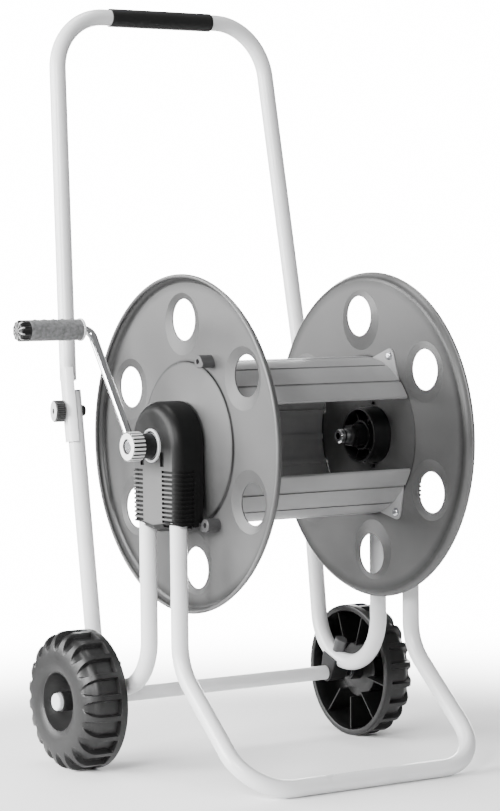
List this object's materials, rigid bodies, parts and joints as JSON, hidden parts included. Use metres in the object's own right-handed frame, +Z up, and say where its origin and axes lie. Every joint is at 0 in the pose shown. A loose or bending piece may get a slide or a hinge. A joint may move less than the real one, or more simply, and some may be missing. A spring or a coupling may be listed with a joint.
{
  "type": "garden hose reel cart",
  "caption": "Wheeled garden hose reel cart: bent tube frame with a tall handle, open drum between dished flanges, hand crank and water inlet.",
  "frame": {"origin": "on the floor, straight below the middle of the reel's axis", "axes": "+Z up, +X along the reel's axis away from the crank, +Y to the back, where the handle and wheels are"},
  "size_m": [0.537, 0.4609, 0.9078],
  "materials": {
    "tube_white": "satin",
    "reel_grey": "satin",
    "black_plastic": "satin",
    "wheel_black": "satin",
    "sleeve_black": "matte",
    "grip_grey": "matte",
    "light_grey_plastic": "satin",
    "nut_grey": "satin",
    "zinc": "bright",
    "chrome": "polished",
    "inlet_grey": "satin",
    "seal": "matte"
  },
  "bodies": {
    "frame": {"front_tube": "tube_white", "rear_leg_left": "tube_white", "rear_leg_right": "tube_white", "leg_plugs": "nut_grey", "handle_tube": "tube_white", "handle_sleeve": "sleeve_black", "handle_bolts": "zinc", "bolt_caps": "black_plastic", "axle_tube": "tube_white", "axle_rod": "zinc", "leg_clamp_left": "black_plastic", "leg_clamp_right": "black_plastic", "clamp_bolts": "zinc", "clamp_nuts": "nut_grey", "wheel_spacers": "black_plastic", "axle_caps": "light_grey_plastic", "hub_cover_left": "black_plastic", "hub_cover_right": "black_plastic", "hub_plate_left": "black_plastic", "hub_plate_right": "black_plastic", "plate_screws": "zinc", "bearing_bush": "light_grey_plastic", "water_spindle": "black_plastic", "spindle_seal": "seal", "inlet_elbow": "black_plastic", "inlet_nipple": "inlet_grey", "crank_bezel": "light_grey_plastic"},
    "reel": {"flange_left": "reel_grey", "flange_right": "reel_grey", "stave_front": "reel_grey", "stave_low": "reel_grey", "stave_back": "reel_grey", "stave_bolts": "zinc", "stave_nuts": "nut_grey", "hub_cup_left": "black_plastic", "hub_cup_right": "black_plastic", "hub_screws": "black_plastic", "hose_nipple": "chrome", "nipple_nut": "black_plastic", "nipple_seal": "seal", "crank_shaft": "black_plastic", "shaft_pin": "zinc", "crank_hub": "light_grey_plastic", "crank_arm": "chrome", "crank_screw": "zinc"},
    "grip": {"crank_grip": "grip_grey", "grip_collar": "light_grey_plastic", "grip_cap": "sleeve_black"},
    "wheel_left": {"wheel_left": "wheel_black", "wheel_bush_left": "light_grey_plastic"},
    "wheel_right": {"wheel_right": "wheel_black", "wheel_bush_right": "light_grey_plastic"},
    "nut_left": {"thumb_nut_left": "nut_grey"},
    "nut_right": {"thumb_nut_right": "nut_grey"}
  },
  "joints": [
    {"name": "reel_spin", "type": "hinge", "parent": "frame", "child": "reel", "pos_m": [0, 0, 0.3858], "axis": [1, 0, 0], "continuous": true},
    {"name": "crank_grip_spin", "type": "hinge", "parent": "reel", "child": "grip", "pos_m": [-0.25, 0.0904, 0.51782], "axis": [1, 0, 0], "continuous": true},
    {"name": "wheel_left_spin", "type": "hinge", "parent": "frame", "child": "wheel_left", "pos_m": [-0.205, 0.1256, 0.082], "axis": [1, 0, 0], "continuous": true},
    {"name": "wheel_right_spin", "type": "hinge", "parent": "frame", "child": "wheel_right", "pos_m": [0.205, 0.1256, 0.082], "axis": [1, 0, 0], "continuous": true},
    {"name": "thumb_nut_left_turn", "type": "hinge", "parent": "frame", "child": "nut_left", "pos_m": [-0.18689, 0.19458, 0.4187], "axis": [-0.9781, 0.2079, 0], "range_deg": [0, 720]},
    {"name": "thumb_nut_right_turn", "type": "hinge", "parent": "frame", "child": "nut_right", "pos_m": [0.18689, 0.19458, 0.4187], "axis": [0.9781, 0.2079, 0], "range_deg": [0, 720]}
  ]
}
